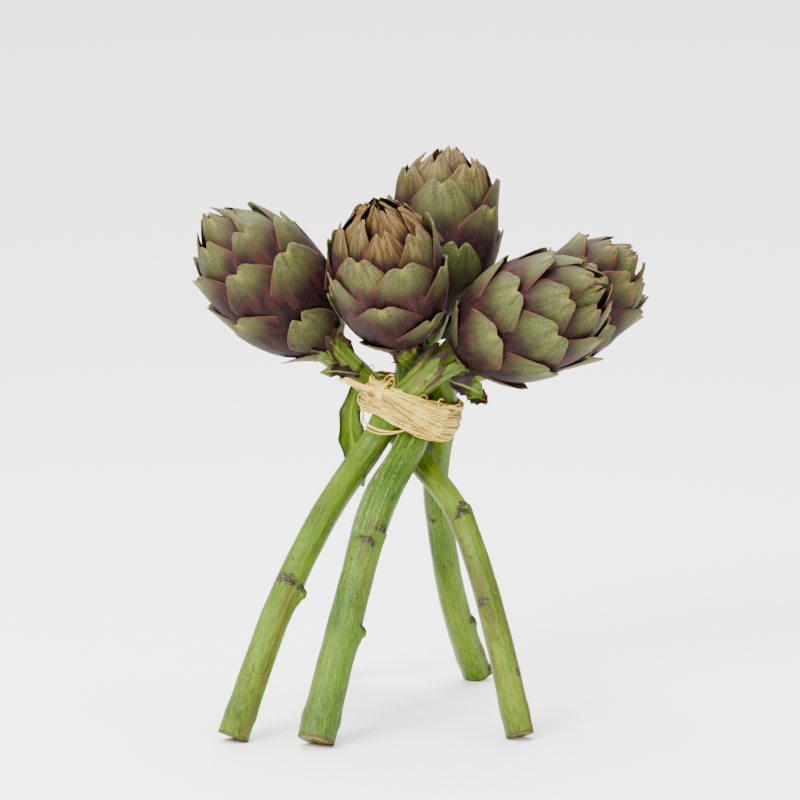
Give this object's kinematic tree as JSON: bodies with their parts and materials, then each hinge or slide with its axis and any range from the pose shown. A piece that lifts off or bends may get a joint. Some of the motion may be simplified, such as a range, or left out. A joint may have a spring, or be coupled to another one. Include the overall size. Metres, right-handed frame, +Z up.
{
  "type": "artichoke bunch",
  "caption": "Bunch of small violet artichokes on long cut stalks, tied at the neck with raffia and standing on the splayed stalk ends.",
  "frame": {"origin": "on the floor, at the middle of the footprint of the whole bunch", "axes": "+Z up from the cut stalk ends to the heads; -Y towards the viewer; +X to the viewer's right"},
  "size_m": [0.2334, 0.1752, 0.282],
  "materials": {
    "stalk": "fresh green stalk, ribbed, satin",
    "bract": "green bract flushed with purple, matt bloom",
    "bud": "brown dried bract tips, matt",
    "leaf": "green leaf, satin",
    "raffia": "dry straw, matt"
  },
  "bodies": {
    "root": {"stalk_left": "stalk", "bud_left": "bud", "bract_left_high_1": "bract", "bract_left_high_2": "bract", "bract_left_high_3": "bract", "bract_left_high_4": "bract", "bract_left_low_1": "bract", "bract_left_low_2": "bract", "bract_left_low_3": "bract", "bract_left_low_4": "bract", "stalk_front": "stalk", "bud_front": "bud", "bract_front_high_1": "bract", "bract_front_high_2": "bract", "bract_front_high_3": "bract", "bract_front_high_4": "bract", "bract_front_low_1": "bract", "bract_front_low_2": "bract", "bract_front_low_3": "bract", "bract_front_low_4": "bract", "stalk_back": "stalk", "bud_back": "bud", "bract_back_high_1": "bract", "bract_back_high_2": "bract", "bract_back_high_3": "bract", "bract_back_high_4": "bract", "bract_back_low_1": "bract", "bract_back_low_2": "bract", "bract_back_low_3": "bract", "bract_back_low_4": "bract", "stalk_right": "stalk", "bud_right": "bud", "bract_right_high_1": "bract", "bract_right_high_2": "bract", "bract_right_high_3": "bract", "bract_right_high_4": "bract", "bract_right_low_1": "bract", "bract_right_low_2": "bract", "bract_right_low_3": "bract", "bract_right_low_4": "bract", "stalk_far": "stalk", "bud_far": "bud", "bract_far_high_1": "bract", "bract_far_high_2": "bract", "bract_far_high_3": "bract", "bract_far_high_4": "bract", "bract_far_low_1": "bract", "bract_far_low_2": "bract", "bract_far_low_3": "bract", "bract_far_low_4": "bract", "leaf_hanging": "leaf", "leaf_left": "leaf", "leaf_right": "leaf", "leaf_under_right": "leaf", "raffia_tie": "raffia"}
  },
  "joints": []
}
